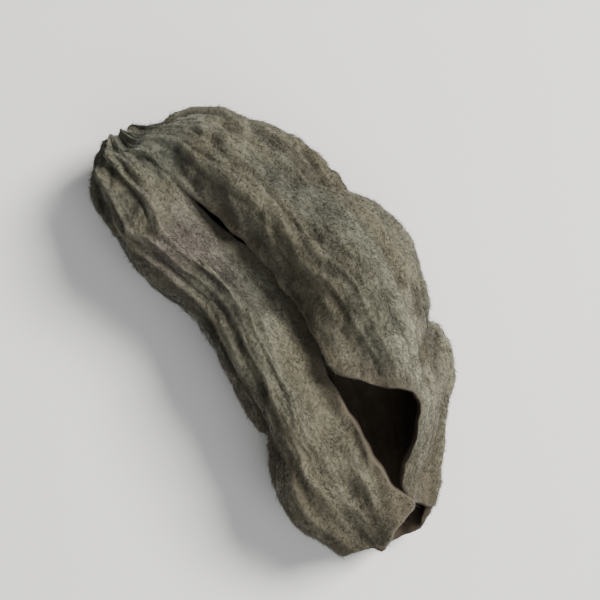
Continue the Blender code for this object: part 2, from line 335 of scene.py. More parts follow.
# The layers of the nap: name, hairs, seed, shortest and longest hair and width at the root in
# millimetres, and the least and most lean from upright in degrees.
NAP_LAYERS = (
    ("ear_nap_felt", 49000, 41, (0.16, 0.32), 0.017, (64.0, 83.0)),
    ("ear_nap_fuzz", 49000, 42, (0.08, 0.17), 0.013, (18.0, 60.0)),
)

# Values of the sheet that the skin's points keep for its materials.
SKIN_VALUES = ("relief", "near_edge", "scar", "streaks", "washes")

# A hair takes these values of the sheet at its root. It leans by these shares down the sheet, with
# the swirl and by chance. Its foot is a triangle, sunk by so many millimetres and turned by a way a
# little askew of the normal, so that an upright hair has one too. The sparsest patch has this share
# of the hairs. The shades are those of the foot's corners and of the tip.
HAIR_VALUES = ("relief", "streaks", "washes")
LEANS = (0.9, 1.5, 0.8)
SWIRL_CLOSENESS = 1.1
SWIRL_SEEDS = (51, 52, 53)
HAIR_SUNK = 0.02
ASKEW = 0.001
HAIR_CORNERS = (0.0, math.tau / 3.0, 2.0 * math.tau / 3.0)
HAIR_SIDES = ((0, 2, 1), (0, 1, 3), (1, 2, 3), (2, 0, 3))
HAIR_FLOOR_GAP = 0.004
SPARSEST = 0.45
SPARSE_BELOW = (-0.4, 0.2)
HAIR_WIDTHS = (0.7, 1.1)
HAIR_TINTS = (0.70, 1.30)
HAIR_SHADES = (0.6, 0.6, 0.6, 1.15)

# The stage, in metres. A light has its azimuth and elevation in degrees, its size and its colour.
# The camera sees from its distance divided by the range to its distance times it.
CLIP_RANGE = 20.0
FLOOR_SIZE = 1.2
LIGHT_DISTANCE = 0.16
KEY_LIGHT = (168.0, 44.0, 0.07, (1.0, 0.985, 0.96))
FILL_LIGHT = (84.0, 48.0, 0.12, (0.95, 0.975, 1.0))
ROOM_COLOUR = (0.97, 0.98, 1.0)


def setting(name, description, default, **kind):
    """A number that a maker would change."""
    return bpy.props.FloatProperty(name=name, description=description, default=default, **kind)


def metres(name, description, default):
    """A length that a maker would change."""
    return setting(name, description, default, unit="LENGTH")


def rgb(name, description, default):
    """A colour that a maker would change."""
    return bpy.props.FloatVectorProperty(
        name=name, description=description, default=default, subtype="COLOR", min=0.0, max=1.0
    )


class EarShape(bpy.types.PropertyGroup):
    """The sizes of the ear that a maker would change."""

    length: metres("Curl length", "From the foot of the knob to the far tip", 16.8 * MM)
    knob: metres("Knob height", "How far the knob stands out of the closed end", 0.60 * MM)
    roll_in: metres("Roll-in depth", "How deep the two lips of the slit dip in", 1.60 * MM)
    ruffle: metres("Ruffle height", "Waves of the margin round the mouth", 0.20 * MM)
    wall: metres("Wall", "Thickness of the dried sheet with its nap", 0.60 * MM)
    margin_wall: metres("Margin wall", "Thickness at the margin with its nap", 0.34 * MM)
    wrinkle: metres("Wrinkle height", "Long wrinkles down the back from the knob", 0.075 * MM)
    rib: metres("Rib height", "Sharp ribs down the back between hollowed strips", 0.17 * MM)
    buckle: metres("Buckle height", "Soft pillows between the creases of the back", 0.16 * MM)
    frill: metres("Frill height", "Small waves of the thin margin", 0.16 * MM)
    crinkle: metres("Crinkle height", "Fine uneven shrinking all over the back", 0.030 * MM)
    scar: metres("Scar height", "Rough fibres and raised rim of the scar on the knob", 0.090 * MM)
    vein: metres("Vein height", "Soft veins of the inner face", 0.075 * MM)
    nap: metres("Nap depth", "How far the hair tips stand off the skin", 0.090 * MM)


class EarColours(bpy.types.PropertyGroup):
    """The colours of the ear."""

    back: rgb("Back", "Olive taupe of the velvety back", (0.092, 0.083, 0.053))
    patch: rgb("Brown patches", "Where the back dried browner", (0.082, 0.067, 0.041))
    cool: rgb("Olive patches", "Where the back dried greyer and greener", (0.084, 0.088, 0.064))
    mauve: rgb("Mauve patch", "Purplish brown in the dip beside the slit", (0.094, 0.073, 0.068))
    scar: rgb("Scar", "Brown torn fibres where the ear came off the wood", (0.058, 0.040, 0.024))
    rim: rgb("Rim", "Dark bare edge of the sheet", (0.030, 0.022, 0.014))
    # Partly a real pale bloom and partly a painted highlight on the ridges and crests of the back.
    dust_and_highlight: rgb("Grey bloom", "Pale bloom on the ridges of the back", (0.185, 0.176, 0.126))
    inner: rgb("Inner face", "Near-black smooth face inside the curl", (0.060, 0.042, 0.026))
    inner_patch: rgb("Brown inner face", "Its colour at its margin", (0.056, 0.041, 0.025))
    nap: rgb("Nap", "The hairs of the back", (0.126, 0.117, 0.078))


class EarStage(bpy.types.PropertyGroup):
    """The floor, the lights and the camera."""

    floor: rgb("Floor", "Colour of the plain floor", (0.80, 0.79, 0.77))
    azimuth: setting(
        "Camera azimuth", "Which way the camera stands off", math.radians(56.0), subtype="ANGLE"
    )
    elevation: setting(
        "Camera elevation", "How far the camera looks down", math.radians(79.0), subtype="ANGLE"
    )
    width: metres("View width", "Width of the view at the ear", 20.5 * MM)
    lens: setting("Lens", "Focal length of the camera", 90.0, unit="CAMERA")
    key_light: setting("Main light", "Power of the light over the far side", 0.62, unit="POWER")
    fill_light: setting("Fill light", "Power of the light from the near side", 0.13, unit="POWER")
    room_light: setting("Room light", "Strength of the pale light from all round", 0.24)


def rise(limits, value):
    """0 below the lower limit, 1 above the upper one, with a smooth step between."""
    low, high = limits
    share = np.clip((value - low) / (high - low), 0.0, 1.0)
    return share * share * (3.0 - 2.0 * share)


def fall(limits, value):
    """1 below the lower limit, 0 above the upper one, with a smooth step between."""
    return 1.0 - rise(limits, value)


def through(stations, place):
    """The values of a smooth curve through the stations, at each given place."""
    table = np.array(stations, float)
    places, heights = table[:, 0], table[:, 1:]
    slopes = np.gradient(heights, places, axis=0)
    place = np.clip(place, places[0], places[-1])
    index = np.clip(np.searchsorted(places, place) - 1, 0, len(places) - 2)
    step = (places[index + 1] - places[index])[..., None]
    share = (place - places[index])[..., None] / step
    rest = 1.0 - share
    return (
        heights[index] * rest * rest * (1.0 + 2.0 * share)
        + heights[index + 1] * share * share * (3.0 - 2.0 * share)
        + slopes[index] * step * share * rest * rest
        - slopes[index + 1] * step * share * share * rest
    )


def unit(vectors):
    """Each vector at length one."""
    return vectors / np.maximum(np.linalg.norm(vectors, axis=-1, keepdims=True), 1e-9)


def noise(points, seed):
    """Smooth noise from -1 to 1: slopes on a lattice of unit cells, eased from corner to corner."""
    slopes = unit(np.random.default_rng(seed).normal(size=(SLOPES, 3)))
    cell = np.floor(points).astype(np.int64)
    inside = points - cell
    ease = inside**3 * (inside * (inside * 6.0 - 15.0) + 10.0)
    total = np.zeros(points.shape[:-1])
    for corner in np.ndindex(2, 2, 2):
        mixed = np.bitwise_xor.reduce((cell + corner) * CELL_PRIMES, axis=-1)
        slope = slopes[(mixed ^ (mixed >> CELL_SHIFT)) % SLOPES]
        weight = np.prod(np.where(corner, ease, 1.0 - ease), axis=-1)
        total += weight * np.sum(slope * (inside - corner), axis=-1)
    return total * NOISE_SPREAD


def layered(points, layers):
    """The sum of layers of noise: each at its closeness, times its share."""
    return sum(share * noise(points * closeness, seed) for closeness, share, seed in layers)


def nibbles(place, finer_share, seed, finer_seed):
    """Uneven bites along an edge: noise on a line, and a share of finer noise."""
    line = np.stack([place, place * 0.0, place * 0.0 + 0.5], -1)
    return noise(line, seed) + finer_share * noise(line * FINER_NIBBLES, finer_seed)


def sheet_coordinates():
    """(turn, along, run) of a grid that runs from knob to margin and from lip to lip."""
    run = np.linspace(0.0, 1.0, ROWS + 1) ** ROW_CROWDING
    across = np.linspace(-1.0, 1.0, COLUMNS + 1)
    across = np.sin(COLUMN_CROWDING * across) / math.sin(COLUMN_CROWDING)
    lips = through(SLIT, run)
    bites = [nibbles(run * NIBBLES_DOWN, *finer) for finer in FINER_ON_LIPS]
    lips += NIBBLED_LIPS * np.stack(bites, -1) * rise(NIBBLES_START, run)[:, None]
    lips[: HOOD_ROWS + 1] = SLIT_TURN - 360.0, SLIT_TURN
    turn = lips[:, :1] + (lips[:, 1:] - lips[:, :1]) * (across[None, :] + 1.0) / 2.0
    margin = through(MARGIN, turn[-1])[:, 0]
    margin += NIBBLED_MARGIN * nibbles(turn[-1] * NIBBLES_ROUND, *FINER_ON_MARGIN)
    held_back = (1.0 - margin[None, :]) * rise((run[HOOD_ROWS], 1.0), run)[:, None]
    along = run[:, None] * (1.0 - held_back)
    return np.radians(turn), along, np.repeat(run[:, None], COLUMNS + 1, axis=1)


def curl(shape, turn, along):
    """The plain curl: an oval section that grows from the knob, dipping in along the slit.

    X grows with the root of along squared plus the nose's bluntness squared. Y and Z go round
    an oval between the stations' limits, with the underside squared off by a power below one.
    """
    nose = NOSE_BLUNTNESS
    length = shape.length / MM
    x = length * (np.sqrt(along**2 + nose**2) - nose) / (math.sqrt(1.0 + nose**2) - nose)
    narrow, domed, bottom, top = np.moveaxis(through(STATIONS, along), -1, 0)
    upward = -np.cos(turn)
    upward = np.where(upward < 0.0, -np.abs(upward) ** UNDERSIDE_SQUARENESS, upward)
    middle, half_width = (narrow + domed) / 2.0, (domed - narrow) / 2.0
    y = middle + half_width * np.sin(turn)
    leaning = rise(RIM_LEAN_TURNS, np.degrees(turn)) * rise(RIM_LEAN_STARTS, along)
    z = (bottom + top) / 2.0 + (top - bottom) / 2.0 * upward
    from_slit = (y - middle - half_width * math.sin(math.radians(SLIT_TURN))) / ROLL_IN_WIDTH
    near_slit = np.exp(-(from_slit**2)) * rise(ROLL_IN_FROM, upward)
    depth = shape.roll_in / MM * rise(ROLL_IN_DEEPENS, along) * fall(ROLL_IN_EASES, along)
    side = np.where(turn > math.pi / 2.0, 1.0, -1.0)
    step = LIP_STEP * side * rise(LIP_STEP_STARTS, along) * fall(LIP_STEP_ENDS, along)
    return np.stack([x, y - RIM_LEAN * leaning, z + near_slit * (step - depth)], -1)


def folding(turn, along):
    """How far in the folds go: grooves that fall off by a power of how far to the side they are."""
    depths = np.zeros_like(turn)
    for at_knob, at_tip, half_width, depth, start, end in FOLDS:
        middle = np.radians(at_knob + (at_tip - at_knob) * along)
        off = np.abs(np.angle(np.exp(1j * (turn - middle)))) / math.radians(half_width)
        starts = rise((start, start + FOLD_START_LENGTH), along)
        ends = fall((end - FOLD_END_LENGTH, end), along)
        depths += depth * np.exp(-(off**FOLD_SHARPNESS)) * starts * ends
    return depths


def buckling(points):
    """How far in the creases go: one less the distance across, times its falling exponential.

    That makes a V with raised shoulders, which dies out with the square of how far its middle is.
    """
    depths = np.zeros(points.shape[:-1])
    for middle, across, half_width, reach, depth in CREASES:
        off = points - middle
        over = np.abs(off @ across) / half_width
        depths += depth * (1.0 - over) * np.exp(-over - (off**2).sum(axis=-1) / reach**2)
    return depths


def shrinking(shape, points, turn, along, run):
    """How far the back stands out from the plain curl: less folds and creases, plus waves."""
    out = -folding(turn, along) - buckling(points)
    calm = 1.0 - CALM_UNDERSIDE * rise(CALM_BETWEEN, np.cos(turn))
    for wave_x, wave_y, wave_z, phase, height in LUMPS:
        out += calm * height * np.sin(points @ (wave_x, wave_y, wave_z) + phase)
    ruffle = np.sin(RUFFLE_WAVES * turn + RUFFLE_UNEVENNESS * np.sin(2.0 * turn))
    out += shape.ruffle / MM * ruffle * rise(RUFFLE_FADES_IN, run) * fall(RUFFLE_FADES_OUT, along)
    tip_waves = np.sin(TIP_WAVES * turn + math.radians(TIP_WAVE_PHASE))
    return out + TIP_WAVE_HEIGHT * tip_waves * rise(TIP_WAVES_GROW, along)


def outward(turn, along):
    """The way out of the curl at each point: round the spine, and towards -X at the knob."""
    forward = -KNOB_FACING * np.exp(-((along / KNOB_FACING_REACH) ** 2))
    round_spine = rise(KNOB_CENTRE_ENDS, along)
    return unit(np.stack([forward, np.sin(turn) * round_spine, -np.cos(turn) * round_spine], -1))


def knob(shape, turn, along):
    """How far the back stands out towards -X at the knob, with puckers round its foot."""
    puckered = rise((PUCKERS_START, KNOB_TOP), along) * fall((KNOB_FOOT, PUCKERS_END), along)
    puckers = PUCKER_DEPTH * puckered * np.sin(PUCKERS * turn)
    return shape.knob / MM * fall((KNOB_TOP, KNOB_FOOT), along) + puckers


def grain_place(turn, along, round_about, down):
    """A place in noise space: a circle for the turn and a height for along, so it has no seam."""
    return np.stack([round_about * np.cos(turn), round_about * np.sin(turn), down * along], -1)


def lines(turn, along, bend, kind):
    """1 along the lines where drawn-out noise crosses zero, falling to 0 away from them."""
    round_about, down, bending, seed, sharpness = kind
    place = grain_place(turn, along, round_about, down) + bending * bend
    return np.clip(1.0 - np.abs(noise(place, seed)) * sharpness, 0.0, 1.0) ** 2


def back_relief(shape, points, turn, along):
    """Fine relief of the back, in millimetres out of the sheet.

    The creases are deepest near the knob, and the ribs stand up in sharp crests. Between them
    the sheet buckles into soft pillows, and a finer crinkle lies over all.
    """
    bend = layered(points, BACK_BEND)[..., None]
    near_knob = CREASES_LEFT + (1.0 - CREASES_LEFT) * fall(CREASES_FADE, along)
    wrinkles = lines(turn, along, bend, LONG_CREASES) * near_knob
    wrinkles += 0.5 * lines(turn, along, bend, SHORT_CREASES)
    ribs = lines(turn, along, bend, RIBS) - RIBS_STAND_OVER
    ribs += SIDE_RIBS_SHARE * (lines(turn, along, bend, SIDE_RIBS) - RIBS_STAND_OVER)
    round_about, down, bending, seed = PILLOWS
    drawn_out = grain_place(turn, along, round_about, down) + bending * bend
    pillows = np.abs(noise(drawn_out, seed)) - PILLOWS_STAND_OVER
    closeness, seed = SIDE_PILLOWS
    pillows += 0.5 * (np.abs(noise(points * closeness + bend, seed)) - PILLOWS_STAND_OVER)
    crinkle = layered(points, CRINKLES)
    relief = -shape.wrinkle * wrinkles + shape.rib * ribs
    relief += shape.buckle * pillows + shape.crinkle * crinkle
    return relief / MM * rise(RELIEF_STARTS, along)


def scar_relief(shape, points, along):
    """Relief of the scar on the knob: coarse fibres inside an uneven raised rim."""
    fibres = layered(points, SCAR_FIBRES) * fall(SCAR_ENDS, along)
    rim = rise(SCAR_RIM_FROM, along) * fall(SCAR_RIM_TO, along)
    rim *= 1.0 + layered(points, SCAR_RIM)
    fibre_share, rim_share, sunk_share = SCAR_SHARES
    sunk = sunk_share * fall(SCAR_ENDS, along)
    return shape.scar / MM * (fibre_share * fibres + rim_share * rim - sunk)


def washes(points):
    """How much of each wash of colour lies at each point: a bell round its middle, made patchy."""
    shares = []
    for seed, (middle, reach, strength) in enumerate(WASHES, WASH_SEED):
        bell = np.exp(-((points - middle) ** 2).sum(axis=-1) / reach**2)
        shares.append(strength * bell * rise(WASH_EDGE, noise(points * WASH_GRAIN, seed)))
    return np.stack(shares, -1)


def lowest_nearby(heights):
    """The least height within a few steps of the grid, so that the inside clears a steep dent."""
    padded = np.pad(heights, UNDER_DENTS_STEPS, mode="edge")
    side = 2 * UNDER_DENTS_STEPS + 1
    return np.lib.stride_tricks.sliding_window_view(padded, (side, side)).min(axis=(-2, -1))


def inner_relief(shape, points, turn, along):
    """Soft veins of the inner face, raised where drawn-out noise crosses zero, on a slight roll."""
    bend = layered(points, INNER_BEND)[..., None]
    veins = lines(turn, along, bend, VEINS) + 0.5 * lines(turn, along, bend, SIDE_VEINS)
    return shape.vein / MM * (veins + layered(points, INNER_ROLL))


def margin_waves(shape, points, near_edge):
    """How far the thin margin waves up and down, in millimetres, dying out away from the edge."""
    return shape.frill / MM * layered(points, MARGIN_WAVES) * near_edge**2


def point_numbers():
    """The grid's point numbers: one at the knob, and one seam column until the slit opens."""
    number = np.arange((ROWS + 1) * (COLUMNS + 1)).reshape(ROWS + 1, COLUMNS + 1)
    number[0] = number[0, 0]
    number[: HOOD_ROWS + 1, -1] = number[: HOOD_ROWS + 1, 0]
    return number


def squares(number):
    """The four corners of each square between neighbouring points, facing out of the curl."""
    corners = [number[:-1, :-1], number[:-1, 1:], number[1:, 1:], number[1:, :-1]]
    return np.stack(corners, -1).reshape(-1, 4)


def normals(points, corners):
    """The average direction of the squares that meet at each point."""
    first, second, third, fourth = np.moveaxis(points[corners], 1, 0)
    facing = np.cross(third - first, fourth - second)
    total = np.zeros_like(points)
    for corner in corners.T:
        np.add.at(total, corner, facing)
    return unit(total)


def towards_margin(run):
    """0 over most of the sheet, rising to 1 at the margin round the mouth and along both lips."""
    across = np.abs(np.linspace(-1.0, 1.0, COLUMNS + 1))[None, :]
    hood_end = run[HOOD_ROWS, 0]
    open_part = rise((hood_end, hood_end + THINS_PAST_HOOD), run)
    towards_lip = rise((THINS_TOWARDS_LIP, 1.0), across) * open_part
    return np.maximum(rise((THINS_TOWARDS_MOUTH, 1.0), run), towards_lip)


def round_margin(down_narrow, across_mouth, up_domed):
    """One loop from a row or column of values at each stretch of the margin."""
    return np.concatenate([down_narrow[HOOD_ROWS:], across_mouth[1:-1], up_domed[:HOOD_ROWS:-1]])


def margin_of(grid):
    """The values of a grid round the margin: down the narrow lip, across, and up the domed lip."""
    return round_margin(grid[:, 0], grid[-1], grid[:, -1])


def standing(points):
    """Points in millimetres moved onto the solid's place, pressed flat where they rest."""
    placed = points - (0.0, 0.0, points[:, 2].min() + PRESSED_FLAT)
    placed[:, 2] = np.maximum(placed[:, 2], FLOOR_GAP)
    middle = (placed.min(axis=0) + placed.max(axis=0)) / 2.0
    placed[:, :2] += ((LOW + HIGH) / 2.0 / MM - middle)[:2]
    return placed


class Sheet:
    """The whole ear's surface as arrays: back, inner face and rounded margin, in millimetres."""

    def __init__(self, shape):
        turn, along, run = sheet_coordinates()
        self.number = point_numbers()
        self.corners = squares(self.number)
        plain = curl(shape, turn, along)
        facing = self.facing_of(plain)
        shrunk = shrinking(shape, plain, turn, along, run)
        way = outward(turn, along)
        near_edge = towards_margin(run)
        plain += facing * margin_waves(shape, plain, near_edge)[..., None]
        uneven = 1.0 + layered(plain, MARGIN_GRAIN)
        wall = (shape.wall + (shape.margin_wall * uneven - shape.wall) * near_edge) / MM
        back = plain + way * shrunk[..., None]
        back[..., 0] -= knob(shape, turn, along)
        fine = back_relief(shape, plain, turn, along) * (1.0 - CALM_MARGIN * near_edge)
        fine *= 1.0 - CALM_DENTS * rise(DENTS_FROM, -shrunk)
        torn = scar_relief(shape, plain, along)
        back += self.facing_of(back) * (fine - shape.nap / MM)[..., None] + way * torn[..., None]
        fine += torn
        under_back = shrunk + np.minimum(fine, 0.0) - shape.nap / MM + wall - THINNEST
        under_back += (lowest_nearby(under_back) - under_back) * (1.0 - near_edge)
        inner = plain + way * np.minimum(INNER_SHARE * shrunk, under_back)[..., None]
        veins = inner_relief(shape, plain, turn, along) * (1.0 - near_edge)
        inner -= facing * (wall + veins)[..., None]
        loops = self.margin_arc(plain, back, inner)
        self.points = standing(np.concatenate([back.reshape(-1, 3), inner.reshape(-1, 3), *loops]))
        self.loop_size = len(loops[0])
        self.relief = self.spread(fine / FULL_RELIEF + shrunk, 0.0 * shrunk, 0.0)
        self.near_edge = self.spread(near_edge, near_edge, 1.0)
        self.scar = self.spread(fall(SCAR_ENDS, along), 0.0 * along, 0.0)
        streaks = grain_place(turn, along, STREAK_ROUND, STREAK_LENGTHS).reshape(-1, 3)
        edge = margin_of(streaks.reshape(*turn.shape, 3))
        self.streaks = np.concatenate([streaks, streaks, *[edge] * (MARGIN_ARC_STEPS - 1)])
        self.washes = washes(self.points)

    def facing_of(self, grid):
        """Smooth normals of a grid of points, joined at the knob and at the hood's seam."""
        return normals(grid.reshape(-1, 3), self.corners)[self.number]

    def margin_arc(self, plain, back, inner):
        """Loops of points on a half round from the back's edge to the inner face's edge."""
        past = unit(margin_of(plain) - round_margin(plain[:, 1], plain[-2], plain[:, -2]))
        middle, half = margin_of((back + inner) / 2.0), margin_of((back - inner) / 2.0)
        angles = np.pi * np.arange(1, MARGIN_ARC_STEPS) / MARGIN_ARC_STEPS
        return [middle + half * np.cos(a) + past * MARGIN_ROUNDING * np.sin(a) for a in angles]

    def spread(self, on_back, on_inner, on_margin):
        """One value for each point, from a grid for each face and a number for the margin."""
        loops = np.full(self.loop_size * (MARGIN_ARC_STEPS - 1), on_margin)
        return np.concatenate([on_back.ravel(), on_inner.ravel(), loops])

    def faces(self):
        """(corners of all faces, which finish each one has): 0 for the back, 1 for the inside."""
        size = self.number.size
        edge = margin_of(self.number)
        between = 2 * size + np.arange((MARGIN_ARC_STEPS - 1) * self.loop_size)
        loops = [edge, *between.reshape(-1, self.loop_size), edge + size]
        strips = [
            np.stack([near, np.roll(near, -1), np.roll(far, -1), far], -1)
            for near, far in zip(loops, loops[1:])
        ]
        parts = [self.corners, self.corners[:, ::-1] + size, *strips]
        finish = [0, 1, 0] + [1] * (MARGIN_ARC_STEPS - 1)
        return np.concatenate(parts), np.repeat(finish, [len(part) for part in parts])


def new_piece(name, points, corners, finish, materials, values=()):
    """A mesh object from points in millimetres and faces with three or four corners each.

    A face whose neighbouring corners are one point, as at the knob, loses the spare corner.
    """
    spare = corners == np.roll(corners, -1, axis=1)
    if corners.shape[1] == 3:
        spare[:] = False
    used, renumbered = np.unique(corners, return_inverse=True)
    renumbered = renumbered.reshape(corners.shape)
    totals = (~spare).sum(axis=1)
    mesh = bpy.data.meshes.new(name)
    mesh.vertices.add(len(used))
    mesh.vertices.foreach_set("co", (points[used] * MM).ravel())
    mesh.loops.add(int(totals.sum()))
    mesh.loops.foreach_set("vertex_index", renumbered[~spare].astype(np.int32))
    mesh.polygons.add(len(corners))
    mesh.polygons.foreach_set("loop_start", (np.cumsum(totals) - totals).astype(np.int32))
    mesh.polygons.foreach_set("material_index", np.asarray(finish, np.int32))
    mesh.update(calc_edges=True)
    for label, numbers in values:
        kind, key = ("FLOAT", "value") if numbers.ndim == 1 else ("FLOAT_VECTOR", "vector")
        made = mesh.attributes.new(label, kind, "POINT")
        made.data.foreach_set(key, numbers[used].astype(np.float32).ravel())
    mesh.shade_smooth()
    for material in materials:
        mesh.materials.append(material)
    piece = bpy.data.objects.new(name, mesh)
    bpy.context.scene.collection.objects.link(piece)
    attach(piece, "root")
    return piece


def node(tree, kind, inputs=None, **settings):
    """A new shader node with its settings, and each input set to a value or linked."""
    made = tree.nodes.new(f"ShaderNode{kind}")
    for name, value in settings.items():
        setattr(made, name, value)
    for name, value in (inputs or {}).items():
        if isinstance(value, bpy.types.NodeSocket):
            tree.links.new(value, made.inputs[name])
        else:
            made.inputs[name].default_value = value
    return made


def opaque(colour):
    """A colour with full alpha."""
    return (*colour, 1.0)


def blend(tree, share, first, second, mode="MIX"):
    """The output of a colour mix. Its colour sockets are the seventh and eighth inputs."""
    settings = {"data_type": "RGBA", "blend_type": mode, "clamp_factor": True}
    return node(tree, "Mix", {0: share, 6: first, 7: second}, **settings).outputs[2]


def remap(tree, value, *limits):
    """A value taken smoothly from one range to another, or to 0 to 1."""
    inputs = dict(zip(("Value", "From Min", "From Max", "To Min", "To Max"), (value, *limits)))
    return node(tree, "MapRange", inputs, interpolation_type="SMOOTHSTEP").outputs[0]


def sum_of(tree, first, second, operation="ADD"):
    """The output of a sum, product or other two-number operation."""
    return node(tree, "Math", {0: first, 1: second}, operation=operation).outputs[0]


def noise_field(tree, place, kind):
    """The output of a noise texture, which reads the place given."""
    inputs = dict(zip(("Vector", "Scale", "Detail", "Roughness"), (place, *kind)))
    return node(tree, "TexNoise", inputs).outputs["Fac"]


def clouds(tree, place, kind):
    """The output of a noise texture, stretched as its kind says."""
    return remap(tree, noise_field(tree, place, kind), *kind[3:])


def grey(tree, level):
    """The output of a grey of this level."""
    channels = dict.fromkeys(("Red", "Green", "Blue"), level)
    return node(tree, "CombineColor", channels).outputs[0]


def mottling_group():
    """Colour of a dried surface: patches, painted shade in creases, bloom that is partly painted
    highlight, and grain.
    """
    group = bpy.data.node_groups.new("Ear mottling", "ShaderNodeTree")
    for way, kind, names in MOTTLING_SOCKETS:
        for name in names:
            group.interface.new_socket(name=name, in_out=way, socket_type=f"NodeSocket{kind}")
    start = group.nodes.new("NodeGroupInput").outputs
    end = group.nodes.new("NodeGroupOutput").inputs
    streaks = start["Streaks"]
    browned = clouds(group, streaks, BROWN_PATCHES)
    browned = sum_of(group, browned, start["Patches"], "MULTIPLY")
    patched = blend(group, browned, start["Colour"], start["Patch Colour"])
    shifted = {0: streaks, 1: OLIVE_PATCHES_FROM}
    elsewhere = node(group, "VectorMath", shifted, operation="ADD").outputs[0]
    greened = clouds(group, elsewhere, OLIVE_PATCHES)
    greened = sum_of(group, greened, start["Patches"], "MULTIPLY")
    green_wash, mauve_wash, painted_highlight_wash = node(group, "SeparateXYZ", {0: start["Washes"]}).outputs
    greened = sum_of(group, greened, green_wash, "MAXIMUM")
    patched = blend(group, greened, patched, start["Cool Colour"])
    patched = blend(group, mauve_wash, patched, start["Mauve Colour"])
    # Pale bloom on the ridges: partly real, partly a painted highlight on the raised relief.
    cloud = clouds(group, streaks, BLOOM_CLOUDS)
    ridge_bloom_and_highlight = remap(group, start["Relief"], *BLOOM_AND_HIGHLIGHT_BY_RELIEF)
    bloom = sum_of(group, sum_of(group, cloud, ridge_bloom_and_highlight, "MULTIPLY"), start["Bloom"], "MULTIPLY")
    # The pale wash is a painted highlight: bloom colour added on the low corner of the dome.
    bloom = sum_of(group, bloom, sum_of(group, painted_highlight_wash, PAINTED_HIGHLIGHT_BLOOM, "MULTIPLY"))
    bloomed_and_highlighted = blend(group, bloom, patched, start["Bloom Colour"])
    # Painted shade: the creases and deep folds are darkened by their relief.
    hollow = remap(group, start["Relief"], *SHADE_BY_RELIEF)
    shade = sum_of(group, hollow, start["Crease Shade"], "MULTIPLY")
    shaded = blend(group, shade, bloomed_and_highlighted, opaque(PAINTED_CREASE_SHADE), "MULTIPLY")
    speckle = noise_field(group, start["Place"], SPECKLES)
    grain = grey(group, remap(group, speckle, *SPECKLES[3:]))
    grained = blend(group, start["Grain"], shaded, grain, "MULTIPLY")
    group.links.new(grained, end["Colour"])
    group.links.new(speckle, end["Height"])
    return group


def new_material(name, finish):
    """A material with its Principled shader's uniform values set, and its tree and shader."""
    material = bpy.data.materials.new(name)
    material.use_nodes = True
    shader = material.node_tree.nodes["Principled BSDF"]
    for socket, value in (ALL_FINISHES | finish).items():
        shader.inputs[socket].default_value = value
    return material, material.node_tree, shader


def object_place(tree):
    """The output of the place in the object, in metres."""
    return node(tree, "TexCoord").outputs["Object"]


def attribute(tree, name, output="Fac"):
    """The output of one of the piece's own values."""
    return node(tree, "Attribute", attribute_name=name).outputs[output]


def mottled_in(tree, mottling, strengths, colours):
    """The mottling's outputs in a material, from its strengths, colours and the piece's values."""
    inputs = {name: opaque(colour) for name, colour in zip(MOTTLING_COLOURS, colours)}
    inputs["Relief"] = attribute(tree, "relief")
    inputs["Place"] = object_place(tree)
    inputs["Streaks"] = attribute(tree, "streaks", "Vector")
    inputs["Washes"] = attribute(tree, "washes", "Vector")
    return node(tree, "Group", inputs | strengths, node_tree=mottling).outputs


def fine_bump(tree, shader, height, distance):
    """Links a bump of this distance in metres to the shader's normal."""
    bump = node(tree, "Bump", {"Height": height, "Distance": distance})
    tree.links.new(bump.outputs["Normal"], shader.inputs["Normal"])


def back_material(mottling, colours):
    """Matt taupe skin under the nap."""
    material, tree, shader = new_material("Ear back", BACK_FINISH)
    own = (colours.back, colours.patch, colours.cool, colours.mauve, colours.dust_and_highlight)
    mottled = mottled_in(tree, mottling, BACK_MOTTLING, own)
    at_margin = remap(tree, attribute(tree, "near_edge"), *BARE_AT_MARGIN)
    coloured = blend(tree, at_margin, mottled["Colour"], opaque(colours.inner_patch))
    coloured = blend(tree, attribute(tree, "scar"), coloured, opaque(colours.scar))
    tree.links.new(coloured, shader.inputs["Base Color"])
    fine_bump(tree, shader, mottled["Height"], BACK_BUMP)
    return material


def inner_material(mottling, colours):
    """Smooth near-black face inside the curl, with a low gloss."""
    material, tree, shader = new_material("Ear inner face", INNER_FINISH)
    own = (colours.inner, colours.inner_patch, colours.inner, colours.inner, colours.patch)
    mottled = mottled_in(tree, mottling, INNER_MOTTLING, own)
    near_edge = attribute(tree, "near_edge")
    at_margin = remap(tree, near_edge, *DARK_AT_MARGIN)
    coloured = blend(tree, at_margin, mottled["Colour"], opaque(colours.rim))
    tree.links.new(coloured, shader.inputs["Base Color"])
    gloss = clouds(tree, object_place(tree), GLOSS_CLOUDS)
    roughness = sum_of(tree, gloss, remap(tree, near_edge, *ROUGHER_AT_MARGIN))
    tree.links.new(roughness, shader.inputs["Roughness"])
    tree.links.new(remap(tree, near_edge, *COAT_TO_MARGIN), shader.inputs["Coat Weight"])
    fine_bump(tree, shader, mottled["Height"], INNER_BUMP)
    return material


def nap_material(mottling, colours):
    """Pale hairs of the nap, tinted hair by hair."""
    material, tree, shader = new_material("Ear nap", NAP_FINISH)
    own = (colours.nap, colours.patch, colours.cool, colours.mauve, colours.dust_and_highlight)
    mottled = mottled_in(tree, mottling, NAP_MOTTLING, own)
    tinted = blend(tree, 1.0, mottled["Colour"], grey(tree, attribute(tree, "tint")), "MULTIPLY")
    tree.links.new(tinted, shader.inputs["Base Color"])
    return material


